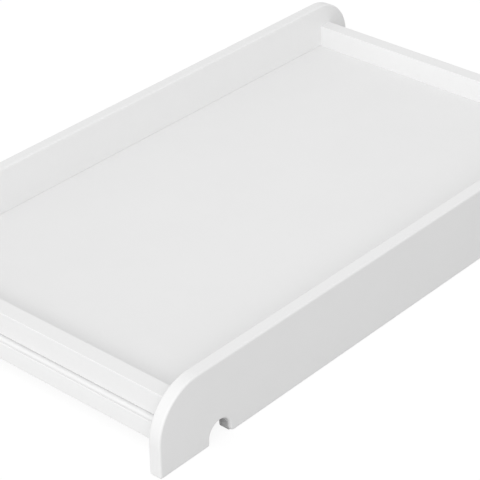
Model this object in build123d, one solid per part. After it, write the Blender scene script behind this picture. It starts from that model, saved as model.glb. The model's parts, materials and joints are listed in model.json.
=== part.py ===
from build123d import *
import os

# Cot top changer: a shallow tray that stands across the two top side rails of a cot.
# Two long side panels hold a thin base board in grooves. Three cross rails under the board join
# the panels, and a stop rail on top of the board closes the tray at each end. Notches in the foot
# of the side panels drop over the cot's rails.
# X runs across the tray, Y along it and Z up. The origin is on the surface that the changer
# stands on, at the middle of its footprint. The near end is at -Y and the left panel at -X.

# Driving sizes in millimetres
cot_rail_spacing = 655.0        # between the centres of the cot's two top side rails
overall_width = 450.0
deck_height = 37.0              # top of the base board above the foot of the side panels
guard_height = 55.5             # side panel above the base board

# Side panels
panel_thickness = 15.0
corner_radius = 55.5            # the big round at each end of the top edge
leg_corner_radius = 2.6
panel_edge_radius = 2.4

# Base board, seated in a groove of each side panel, with a full round nose at both ends
base_thickness = 6.0
base_setback = 30.7             # from the end of the side panels to the nose
groove_depth = 5.0
groove_clearance = 0.15

# Stop rails, on top of the board, with a shadow gap along their outer foot
stop_rail_height = 27.5
stop_rail_thickness = 18.9
stop_rail_edge_radius = 0.8
shadow_gap_height = 0.6
shadow_gap_depth = 2.5
base_nose = 4.8                 # board in front of the stop rail

# Cross rails, under the board
rail_ground_clearance = 9.0
nose_overhang = 0.8             # board in front of the end cross rails
cross_rail_edge_radius = 1.5

# Notches for the cot's rails and their soft liners
notch_radius = 15.2
notch_wall_gap = 15.4           # along the panel, from the end cross rail to the notch
notch_arc_height = 7.6          # from the foot of the panel up to the centre of the arch
notch_outer_lip_radius = 2.6
notch_inner_lip_radius = 5.7
liner_thickness = 1.2
liner_outer_inset = 3.3         # from the panel's outer face
liner_inner_inset = 0.8
liner_foot_clearance = 1.0      # from the foot of the panel up to the ends of the liner
glue_film = 0.1

# Cam bolts and cam locks, one pair at each end of each cross rail
cam_radius = 7.4
cam_cover = 6.0                 # wood left above the cam
cam_recess = 0.4                # cam below the face of the rail
cam_from_end = 24.0
cam_wall = 2.0
cam_slot_width = 1.4
cam_slot_depth = 2.0
cam_slot_length = 8.0
bolt_thread_radius = 3.0
bolt_thread_length = 11.0
bolt_collar_radius = 4.0
bolt_collar_length = 1.5
bolt_shank_radius = 2.5
bolt_neck_radius = 1.8
bolt_neck_length = 3.0
bolt_head_radius = 3.2
bolt_head_length = 4.0

# Dowels at the ends of the stop rails
dowel_radius = 4.0
dowel_length = 28.0
dowel_in_panel = 10.5
dowel_chamfer = 1.0

# Screws from below through each end cross rail and the board into the stop rail
screws_per_rail = 4
screw_from_end = 60.0
screw_length = 40.0
screw_radius = 2.1
screw_tip_length = 6.0
screw_tip_radius = 0.4
screw_head_radius = 4.0
screw_head_height = 2.8
screw_counterbore_depth = 5.0
screw_recess_width = 1.2
screw_recess_depth = 1.6

# Running fits of the hidden fasteners, and how far a cut runs past its face
hole_clearance = 0.05
loose_clearance = 0.3
overrun = 5.0

# Places worked out from the sizes above
panel_height = deck_height + guard_height
inner_width = overall_width - 2 * panel_thickness
inner_face = inner_width / 2
stop_rail_setback = base_setback + base_nose
cross_rail_setback = base_setback + nose_overhang
cross_rail_width = stop_rail_setback + stop_rail_thickness - cross_rail_setback
cross_rail_height = deck_height - base_thickness - rail_ground_clearance
notch_from_end = cross_rail_setback + cross_rail_width + notch_wall_gap + notch_radius
overall_length = cot_rail_spacing + 2 * notch_from_end
end_face = overall_length / 2
base_length = overall_length - 2 * base_setback
stop_rail_y = end_face - stop_rail_setback - stop_rail_thickness / 2
cross_rail_y = end_face - cross_rail_setback - cross_rail_width / 2
cam_bore_depth = cross_rail_height - cam_cover
cam_height = cam_bore_depth - cam_recess
cam_x = inner_face - cam_from_end
bolt_z = rail_ground_clearance + cam_bore_depth / 2
dowel_z = deck_height + stop_rail_height / 2
screw_z = rail_ground_clearance + screw_counterbore_depth - screw_head_height
screw_spacing = (inner_width - 2 * screw_from_end) / (screws_per_rail - 1)
screw_places = [-inner_face + screw_from_end + i * screw_spacing for i in range(screws_per_rail)]

NEAR, FAR = -1, 1
RAIL_PLACES = (NEAR * cross_rail_y, 0, FAR * cross_rail_y)
STANDING = (Align.CENTER, Align.CENTER, Align.MIN)


# A round bar along X between two places
def bar_x(radius, start, end, y, z):
    bar = Cylinder(radius, abs(end - start), rotation=(0, 90, 0))
    return Pos((start + end) / 2, y, z) * bar


# A round bar that stands on a given height
def bar_z(radius, height, x, y, z):
    bar = Cylinder(radius, height, align=STANDING)
    return Pos(x, y, z) * bar


# The shape of one notch, seen from the side: straight walls under a half round
def notch_outline(end):
    centre = end * cot_rail_spacing / 2
    arch = Pos(centre, notch_arc_height) * Circle(notch_radius)
    walls = Rectangle(2 * notch_radius, notch_arc_height + overrun, align=(Align.CENTER, Align.MAX))
    return arch + Pos(centre, notch_arc_height) * walls


# Side view of a panel: big rounds above, straight legs, two notches with eased lips
def panel_outline():
    outline = Rectangle(overall_length, panel_height, align=(Align.CENTER, Align.MIN))
    top_radius = min(corner_radius, panel_height - 2 * leg_corner_radius)
    outline = fillet(outline.vertices().group_by(Axis.Y)[-1], top_radius)
    outline = fillet(outline.vertices().group_by(Axis.Y)[0], leg_corner_radius)
    for end in (NEAR, FAR):
        outline -= notch_outline(end)
    for end in (NEAR, FAR):
        centre = end * cot_rail_spacing / 2
        for way, radius in ((end, notch_outer_lip_radius), (-end, notch_inner_lip_radius)):
            lip = outline.vertices().sort_by_distance((centre + way * notch_radius, 0, 0))[0]
            outline = fillet(lip, radius)
    return outline


# The groove that holds the long edge of the base board, in the right panel's inner face
def board_groove():
    depth = groove_depth + groove_clearance
    length = base_length + 2 * groove_clearance
    height = base_thickness + groove_clearance
    groove = Box(depth + overrun, length, height, align=(Align.MAX, Align.CENTER, Align.MIN))
    return Pos(inner_face + depth, 0, deck_height - base_thickness) * groove


# Blind holes in the right panel's inner face for the cam bolts and the dowels
def panel_holes():
    bolt_end = inner_face + bolt_thread_length + hole_clearance
    dowel_end = inner_face + dowel_in_panel + hole_clearance
    holes = [
        bar_x(bolt_thread_radius + hole_clearance, inner_face - overrun, bolt_end, y, bolt_z)
        for y in RAIL_PLACES
    ]
    for end in (NEAR, FAR):
        radius = dowel_radius + hole_clearance
        holes.append(bar_x(radius, inner_face - overrun, dowel_end, end * stop_rail_y, dowel_z))
    return holes


def side_panel_right():
    blank = extrude(Plane.YZ * panel_outline(), panel_thickness)
    rims = blank.faces().sort_by(Axis.X)[0].edges() + blank.faces().sort_by(Axis.X)[-1].edges()
    panel = Pos(inner_face, 0, 0) * fillet(rims, panel_edge_radius)
    panel -= board_groove()
    for hole in panel_holes():
        panel -= hole
    return panel


# The board is a thin slab, and its two ends are full rounds
def base_board():
    profile = Plane.YZ * SlotOverall(base_length, base_thickness)
    board = extrude(profile, inner_face + groove_depth, both=True)
    board = Pos(0, 0, deck_height - base_thickness / 2) * board
    start = deck_height - base_thickness - overrun
    through = base_thickness + 2 * overrun
    for end in (NEAR, FAR):
        for x in screw_places:
            board -= bar_z(screw_radius + loose_clearance, through, x, end * stop_rail_y, start)
    return board


def stop_rail(end):
    y = end * stop_rail_y
    rail = Box(inner_width, stop_rail_thickness, stop_rail_height, align=STANDING)
    gap = Box(inner_width + 2 * overrun, 2 * shadow_gap_depth, 2 * shadow_gap_height)
    rail -= Pos(0, end * stop_rail_thickness / 2, 0) * gap
    levels = rail.edges().filter_by(Axis.X).group_by(Axis.Z)
    lip = levels[-2].sort_by_distance((0, end * stop_rail_thickness, 0))[0]
    rail = Pos(0, y, deck_height) * fillet(levels[-1] + [lip], stop_rail_edge_radius)
    hole_height = screw_z + screw_length + hole_clearance - deck_height
    for x in screw_places:
        rail -= bar_z(screw_radius + hole_clearance, hole_height, x, y, deck_height)
    dowel_end = inner_face - (dowel_length - dowel_in_panel) - loose_clearance
    outside = inner_face + overrun
    for side in (-1, 1):
        rail -= bar_x(dowel_radius + hole_clearance, side * dowel_end, side * outside, y, dowel_z)
    return rail


# A cross rail with a cam bore and a bolt hole at each end; the end rails also have screw holes
def cross_rail(y, screw_y=None):
    rail = Box(inner_width, cross_rail_width, cross_rail_height, align=STANDING)
    rail = fillet(rail.edges().filter_by(Axis.X), cross_rail_edge_radius)
    rail = Pos(0, y, rail_ground_clearance) * rail
    start = rail_ground_clearance - overrun
    outside = inner_face + overrun
    for side in (-1, 1):
        rail -= bar_z(cam_radius + hole_clearance, cam_bore_depth + overrun, side * cam_x, y, start)
        rail -= bar_x(bolt_collar_radius + hole_clearance, side * cam_x, side * outside, y, bolt_z)
    if screw_y is not None:
        through = cross_rail_height + 2 * overrun
        head_room = screw_counterbore_depth + overrun
        for x in screw_places:
            rail -= bar_z(screw_radius + loose_clearance, through, x, screw_y, start)
            rail -= bar_z(screw_head_radius + loose_clearance, head_room, x, screw_y, start)
    return rail


# The liner's turn round a lip of the notch, drawn about the lip's own centre
def lip_wrap(way, lip):
    inside = lip + glue_film
    outside = inside + liner_thickness
    quarter = Rectangle(outside, lip - liner_foot_clearance, align=(Align.CENTER, Align.MAX))
    return (Circle(outside) - Circle(inside)) & (Pos(-way * outside / 2, 0) * quarter)


# A strip that lines the notch over its arch and down round both lips
def notch_liner(end):
    centre = end * cot_rail_spacing / 2
    outside = notch_radius - glue_film
    inside = outside - liner_thickness
    upper_half = Rectangle(2 * outside, outside, align=(Align.CENTER, Align.MIN))
    strip = (Circle(outside) - Circle(inside)) & upper_half
    for way, lip in ((end, notch_outer_lip_radius), (-end, notch_inner_lip_radius)):
        leg = Rectangle(liner_thickness, notch_arc_height - lip, align=(Align.CENTER, Align.MAX))
        strip += Pos(way * (inside + outside) / 2, 0) * leg
        strip += Pos(way * (notch_radius + lip), lip - notch_arc_height) * lip_wrap(way, lip)
    strip = Plane.YZ * (Pos(centre, notch_arc_height) * strip)
    width = panel_thickness - liner_outer_inset - liner_inner_inset
    return Pos(inner_face + liner_inner_inset, 0, 0) * extrude(strip, width)


# One cam bolt: thread in the panel, collar, shank, neck and the head that the cam grips
def cam_bolt(y):
    collar_end = inner_face - bolt_collar_length
    head_end = cam_x - bolt_head_length / 2
    neck_start = cam_x + bolt_head_length / 2
    shank_end = neck_start + bolt_neck_length
    bolt = bar_x(bolt_thread_radius, inner_face, inner_face + bolt_thread_length, y, bolt_z)
    bolt += bar_x(bolt_collar_radius, collar_end, inner_face, y, bolt_z)
    bolt += bar_x(bolt_shank_radius, shank_end, collar_end, y, bolt_z)
    bolt += bar_x(bolt_neck_radius, neck_start, shank_end, y, bolt_z)
    bolt += bar_x(bolt_head_radius, head_end, neck_start, y, bolt_z)
    return bolt


# One cam lock: a drum, hollow around the bolt's head, with its mouth towards the panel
# and a cross slot for the driver in its lower face
def cam_lock(y):
    base = rail_ground_clearance + cam_recess
    lock = bar_z(cam_radius, cam_height, cam_x, y, base)
    room = bolt_head_radius + loose_clearance
    lock -= bar_z(cam_radius - cam_wall, 2 * room, cam_x, y, bolt_z - room)
    lock -= bar_x(room, cam_x, cam_x + cam_radius + overrun, y, bolt_z)
    for turn in (0, 90):
        slot = Box(cam_slot_length, cam_slot_width, cam_slot_depth, align=STANDING)
        lock -= Pos(cam_x, y, base) * Rot(0, 0, turn) * slot
    return lock


def stop_rail_dowel(end):
    dowel = Cylinder(dowel_radius, dowel_length, rotation=(0, 90, 0))
    dowel = chamfer(dowel.edges().filter_by(GeomType.CIRCLE), dowel_chamfer)
    return Pos(inner_face + dowel_in_panel - dowel_length / 2, end * stop_rail_y, dowel_z) * dowel


# One screw, head down, with a cross recess in its head and a point at its top
def stop_rail_screw(x, y):
    shank_length = screw_length - screw_head_height - screw_tip_length
    screw = bar_z(screw_head_radius, screw_head_height, x, y, screw_z)
    screw += bar_z(screw_radius, shank_length, x, y, screw_z + screw_head_height)
    tip = Cone(screw_radius, screw_tip_radius, screw_tip_length, align=STANDING)
    screw += Pos(x, y, screw_z + screw_length - screw_tip_length) * tip
    for turn in (0, 90):
        recess = Box(screw_head_radius, screw_recess_width, screw_recess_depth, align=STANDING)
        screw -= Pos(x, y, screw_z) * Rot(0, 0, turn) * recess
    return screw


def mirrored(shape):
    return mirror(shape, about=Plane.YZ)


def save(node, shape):
    shape.label = node
    export_step(shape, os.path.join("parts", node + ".step"))


os.makedirs("parts", exist_ok=True)

panel = side_panel_right()
save("side_panel_right", panel)
save("side_panel_left", mirrored(panel))
save("base_board", base_board())

for end, name in ((NEAR, "near"), (FAR, "far")):
    save("stop_rail_" + name, stop_rail(end))
    save("cross_rail_" + name, cross_rail(end * cross_rail_y, end * stop_rail_y))
    save("notch_liner_right_" + name, notch_liner(end))
    save("notch_liner_left_" + name, mirrored(notch_liner(end)))
    screws = [stop_rail_screw(x, end * stop_rail_y) for x in screw_places]
    save("stop_rail_screws_" + name, Compound(children=screws))
save("cross_rail_mid", cross_rail(0))

for name, placed in (("right", lambda shape: shape), ("left", mirrored)):
    save("cam_bolts_" + name, Compound(children=[placed(cam_bolt(y)) for y in RAIL_PLACES]))
    save("cam_locks_" + name, Compound(children=[placed(cam_lock(y)) for y in RAIL_PLACES]))
    dowels = [placed(stop_rail_dowel(end)) for end in (NEAR, FAR)]
    save("stop_rail_dowels_" + name, Compound(children=dowels))
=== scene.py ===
import json
import math

import bpy
from mathutils import Matrix, Vector


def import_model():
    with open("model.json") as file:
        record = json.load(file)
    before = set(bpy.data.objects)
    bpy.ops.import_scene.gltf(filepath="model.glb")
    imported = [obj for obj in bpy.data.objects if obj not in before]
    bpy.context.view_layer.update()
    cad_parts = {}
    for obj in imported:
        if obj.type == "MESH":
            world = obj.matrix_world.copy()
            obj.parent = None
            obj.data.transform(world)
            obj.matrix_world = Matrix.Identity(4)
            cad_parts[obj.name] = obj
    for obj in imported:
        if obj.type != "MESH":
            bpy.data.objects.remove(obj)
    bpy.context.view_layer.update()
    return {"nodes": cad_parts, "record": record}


# Cot top changer: satin white painted tray with raised side panels, notched to stand on a cot.
# Lengths are in metres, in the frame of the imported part. Colours are linear values.

MM = 0.001

# Satin white paint
WHITE = (0.835, 0.835, 0.835)
# A little lighter than the panels' white though it is the same paint: painted light on the stop
# rails' faces
RAIL_PAINTED_LIGHTER_WHITE = (0.845, 0.845, 0.845)
# Lighter still though it is the same paint: painted light, standing in for the floor's bounce on
# the cross rails' faces
CROSS_RAIL_PAINTED_LIGHTER_WHITE = (0.87, 0.87, 0.87)
PAINT_CLOUDS = 60 * MM
PAINT_CLOUD_SHADE = 0.992
PAINT_SHEEN_SPOTS = 18 * MM
PAINT_SHEEN_SPREAD = 0.03
PAINT_TEXTURE = 1.6 * MM
PAINT_RELIEF = 0.012 * MM
PAINT_ROUGHNESS = 0.5
PAINT_SPECULAR = 0.5
BOARD_ROUGHNESS = 0.45
BOARD_SPECULAR = 0.25

# Liner of the notches
LINER_COLOURS = (0.45, 0.45, 0.45), (0.62, 0.62, 0.62)
LINER_FIBRES = 0.8 * MM
LINER_RELIEF = 0.1 * MM
LINER_ROUGHNESS = 0.9

# Zinc of the fixings
PLATED_ZINC = (0.72, 0.73, 0.75)
PLATED_ROUGHNESS = 0.3
CAST_ZINC = (0.6, 0.6, 0.62)
CAST_ROUGHNESS = 0.45
ZINC_SPANGLE = 1.5 * MM
ZINC_SPANGLE_SHADE = 0.85
ZINC_SHEEN_SPREAD = 0.08

# Beech of the dowels, whose grain runs along X
BEECH_COLOURS = (0.5, 0.32, 0.17), (0.66, 0.46, 0.27)
BEECH_GRAIN = 0.5 * MM
BEECH_STRETCH = (0.08, 1, 1)
BEECH_RELIEF = 0.04 * MM
BEECH_ROUGHNESS = 0.65

# Parts of a pattern's range over which its colour or gloss changes
COLOUR_RANGE = (0.35, 0.65)
GLOSS_RANGE = (0.3, 0.7)

# Floor: what it sends back to the object, and its glow and shade where it is seen
FLOOR_HALF = 6
FLOOR_BOUNCE = 0.5
FLOOR_GLOW = 0.9
FLOOR_SHADE = 0.12
FLOOR_ROUGHNESS = 0.9

# Light from all round
WORLD_LEVEL = 0.785

# Soft boxes that face the object. The direction, in degrees, is 0 for the near side and 90 for
# the right, and the height is in degrees too.
SOFT_BOXES = (
    dict(name="near", direction=0, height=5, distance=3, size=(1.9, 0.45), power=11.3),
    dict(name="right", direction=35, height=30, distance=8, size=(4.3, 2.25), power=187),
    dict(name="overhead", direction=0, height=85.6, distance=1.3, size=(0.9, 1.2), power=0.74),
)

# Camera, in the photograph's place, with its angles in degrees
CAMERA_PLACE = (1.2734, -1.4712, 1.1676)
CAMERA_TURN = 41.687
CAMERA_TILT = 58.75
CAMERA_ROLL = -0.889
CAMERA_LENS = 148.62
CAMERA_SENSOR = 36
CAMERA_CLIP = (0.05, 50)
HALF_PIXEL = 0.5 / 480


def shader_tree(name):
    material = bpy.data.materials.new(name)
    material.use_nodes = True
    tree = material.node_tree
    return material, tree, tree.nodes["Principled BSDF"]


# A node with values for its inputs, by their names
def add(tree, kind, **inputs):
    node = tree.nodes.new(kind)
    for key, value in inputs.items():
        node.inputs[key.replace("_", " ")].default_value = value
    return node


def grey(level):
    return (level, level, level, 1)


# Object coordinates, stretched if asked, so that a pattern has its real size
def coordinates(tree, stretch=(1, 1, 1)):
    source = tree.nodes.new("ShaderNodeTexCoord")
    mapping = tree.nodes.new("ShaderNodeMapping")
    mapping.inputs["Scale"].default_value = stretch
    tree.links.new(source.outputs["Object"], mapping.inputs["Vector"])
    return mapping.outputs["Vector"]


def noise(tree, vector, size, detail=2.0, roughness=0.5):
    node = add(tree, "ShaderNodeTexNoise", Scale=1 / size, Detail=detail, Roughness=roughness)
    tree.links.new(vector, node.inputs["Vector"])
    return node.outputs["Fac"]


# The surface's colour runs from one colour to the other over a pattern
def colour_by(tree, shader, pattern, low, high):
    node = tree.nodes.new("ShaderNodeValToRGB")
    for stop, place, colour in zip(node.color_ramp.elements, COLOUR_RANGE, (low, high)):
        stop.position = place
        stop.color = (*colour, 1)
    tree.links.new(pattern, node.inputs["Fac"])
    tree.links.new(node.outputs["Color"], shader.inputs["Base Color"])


# The surface's roughness varies about its middle over a pattern
def gloss_by(tree, shader, pattern, middle, spread):
    start, end = GLOSS_RANGE
    low, high = middle - spread, middle + spread
    node = add(tree, "ShaderNodeMapRange", From_Min=start, From_Max=end, To_Min=low, To_Max=high)
    tree.links.new(pattern, node.inputs["Value"])
    tree.links.new(node.outputs["Result"], shader.inputs["Roughness"])


def relief_by(tree, shader, pattern, height):
    node = add(tree, "ShaderNodeBump", Strength=1.0, Distance=height)
    tree.links.new(pattern, node.inputs["Height"])
    tree.links.new(node.outputs["Normal"], shader.inputs["Normal"])


# Faint clouds in the paint's colour and gloss, and the fine texture of a roller
def paint(name, colour, roughness=PAINT_ROUGHNESS, specular=PAINT_SPECULAR):
    material, tree, shader = shader_tree(name)
    place = coordinates(tree)
    darker = [c * PAINT_CLOUD_SHADE for c in colour]
    colour_by(tree, shader, noise(tree, place, PAINT_CLOUDS), darker, colour)
    sheen_spots = noise(tree, place, PAINT_SHEEN_SPOTS, detail=3.0)
    gloss_by(tree, shader, sheen_spots, roughness, PAINT_SHEEN_SPREAD)
    shader.inputs["Specular IOR Level"].default_value = specular
    relief_by(tree, shader, noise(tree, place, PAINT_TEXTURE, detail=3.0), PAINT_RELIEF)
    return material


# Matt grey felt of short fibres
def liner(name):
    material, tree, shader = shader_tree(name)
    fibres = noise(tree, coordinates(tree), LINER_FIBRES, detail=4.0, roughness=0.7)
    colour_by(tree, shader, fibres, *LINER_COLOURS)
    shader.inputs["Roughness"].default_value = LINER_ROUGHNESS
    relief_by(tree, shader, fibres, LINER_RELIEF)
    return material


# Zinc with faint spangle in its colour and gloss
def zinc(name, colour, roughness):
    material, tree, shader = shader_tree(name)
    spangle = noise(tree, coordinates(tree), ZINC_SPANGLE)
    darker = [c * ZINC_SPANGLE_SHADE for c in colour]
    colour_by(tree, shader, spangle, darker, colour)
    gloss_by(tree, shader, spangle, roughness, ZINC_SHEEN_SPREAD)
    shader.inputs["Metallic"].default_value = 1.0
    return material


def beech(name):
    material, tree, shader = shader_tree(name)
    grain = noise(tree, coordinates(tree, BEECH_STRETCH), BEECH_GRAIN, detail=3.0)
    colour_by(tree, shader, grain, *BEECH_COLOURS)
    shader.inputs["Roughness"].default_value = BEECH_ROUGHNESS
    relief_by(tree, shader, grain, BEECH_RELIEF)
    return material


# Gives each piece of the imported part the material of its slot
def dress(frame):
    materials = {
        "painted_panel": paint("painted_panel", WHITE),
        "painted_board": paint("painted_board", WHITE, BOARD_ROUGHNESS, BOARD_SPECULAR),
        # The stop rails' lighter white is painted light on their faces
        "painted_rail": paint("painted_rail", RAIL_PAINTED_LIGHTER_WHITE),
        # The cross rails' lighter white is painted light from the floor's bounce
        "painted_cross_rail": paint("painted_cross_rail", CROSS_RAIL_PAINTED_LIGHTER_WHITE),
        "grey_liner": liner("grey_liner"),
        "zinc_bolt": zinc("zinc_bolt", PLATED_ZINC, PLATED_ROUGHNESS),
        "zinc_cam": zinc("zinc_cam", CAST_ZINC, CAST_ROUGHNESS),
        "zinc_screw": zinc("zinc_screw", PLATED_ZINC, PLATED_ROUGHNESS),
        "beech_dowel": beech("beech_dowel"),
    }
    for part in frame["record"]["subparts"]:
        piece = frame["nodes"][part["node"]]
        piece.data.materials.clear()
        piece.data.materials.append(materials[part["material_slot"]])


# One for rays from the camera or off a glossy or clear surface, else nought
def seen_directly(tree):
    rays = tree.nodes.new("ShaderNodeLightPath")
    total = rays.outputs["Is Camera Ray"]
    for kind in ("Is Glossy Ray", "Is Transmission Ray"):
        either = tree.nodes.new("ShaderNodeMath")
        either.operation = "MAXIMUM"
        tree.links.new(total, either.inputs[0])
        tree.links.new(rays.outputs[kind], either.inputs[1])
        total = either.outputs[0]
    return total


# One shader where a thing is seen directly, and a plain one for the light that it sends on
def mixed(tree, plain, seen, output):
    mix = tree.nodes.new("ShaderNodeMixShader")
    tree.links.new(seen_directly(tree), mix.inputs["Fac"])
    tree.links.new(plain, mix.inputs[1])
    tree.links.new(seen, mix.inputs[2])
    tree.links.new(mix.outputs[0], output)


# The floor: pale, white where it is seen, with the object's shadow
def floor():
    half = FLOOR_HALF
    mesh = bpy.data.meshes.new("floor")
    corners = [(-half, -half, 0), (half, -half, 0), (half, half, 0), (-half, half, 0)]
    mesh.from_pydata(corners, [], [(0, 1, 2, 3)])
    thing = bpy.data.objects.new("floor", mesh)
    bpy.context.scene.collection.objects.link(thing)
    material, tree, shader = shader_tree("floor")
    shader.inputs["Base Color"].default_value = grey(FLOOR_BOUNCE)
    shader.inputs["Roughness"].default_value = FLOOR_ROUGHNESS
    shader.inputs["Specular IOR Level"].default_value = 0.0
    shade = add(tree, "ShaderNodeBsdfDiffuse", Color=grey(FLOOR_SHADE))
    glow = add(tree, "ShaderNodeEmission", Strength=FLOOR_GLOW)
    seen = tree.nodes.new("ShaderNodeAddShader")
    tree.links.new(shade.outputs[0], seen.inputs[0])
    tree.links.new(glow.outputs[0], seen.inputs[1])
    surface = tree.nodes["Material Output"].inputs["Surface"]
    mixed(tree, shader.outputs[0], seen.outputs[0], surface)
    thing.data.materials.append(material)


# Even light from all round, in front of a white background
def world():
    thing = bpy.data.worlds.new("studio")
    thing.use_nodes = True
    tree = thing.node_tree
    light = tree.nodes["Background"]
    light.inputs["Color"].default_value = grey(WORLD_LEVEL)
    white = add(tree, "ShaderNodeBackground", Color=grey(1.0), Strength=1.0)
    surface = tree.nodes["World Output"].inputs["Surface"]
    mixed(tree, light.outputs[0], white.outputs[0], surface)
    bpy.context.scene.world = thing


def soft_box(name, direction, height, distance, size, power):
    data = bpy.data.lights.new(name, "AREA")
    data.shape = "RECTANGLE"
    data.size, data.size_y = size
    data.energy = power
    lamp = bpy.data.objects.new(name, data)
    bpy.context.scene.collection.objects.link(lamp)
    turn = Matrix.Rotation(math.radians(direction), 3, "Z")
    rise = Matrix.Rotation(math.radians(-height), 3, "X")
    lamp.location = turn @ rise @ Vector((0, -distance, 0))
    lamp.rotation_mode = "QUATERNION"
    lamp.rotation_quaternion = (-lamp.location).to_track_quat("-Z", "Y")


# The photograph's view, from the near right and above
def camera():
    data = bpy.data.cameras.new("camera")
    data.lens = CAMERA_LENS
    data.sensor_width = CAMERA_SENSOR
    data.shift_x = -HALF_PIXEL
    data.shift_y = HALF_PIXEL
    data.clip_start, data.clip_end = CAMERA_CLIP
    thing = bpy.data.objects.new("camera", data)
    bpy.context.scene.collection.objects.link(thing)
    turn = Matrix.Rotation(math.radians(CAMERA_TURN), 4, "Z")
    tilt = Matrix.Rotation(math.radians(CAMERA_TILT), 4, "X")
    roll = Matrix.Rotation(math.radians(CAMERA_ROLL), 4, "Z")
    thing.matrix_world = Matrix.Translation(CAMERA_PLACE) @ turn @ tilt @ roll
    bpy.context.scene.camera = thing


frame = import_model()
bpy.context.scene.view_settings.view_transform = "Standard"
dress(frame)
floor()
world()
for box in SOFT_BOXES:
    soft_box(**box)
camera()
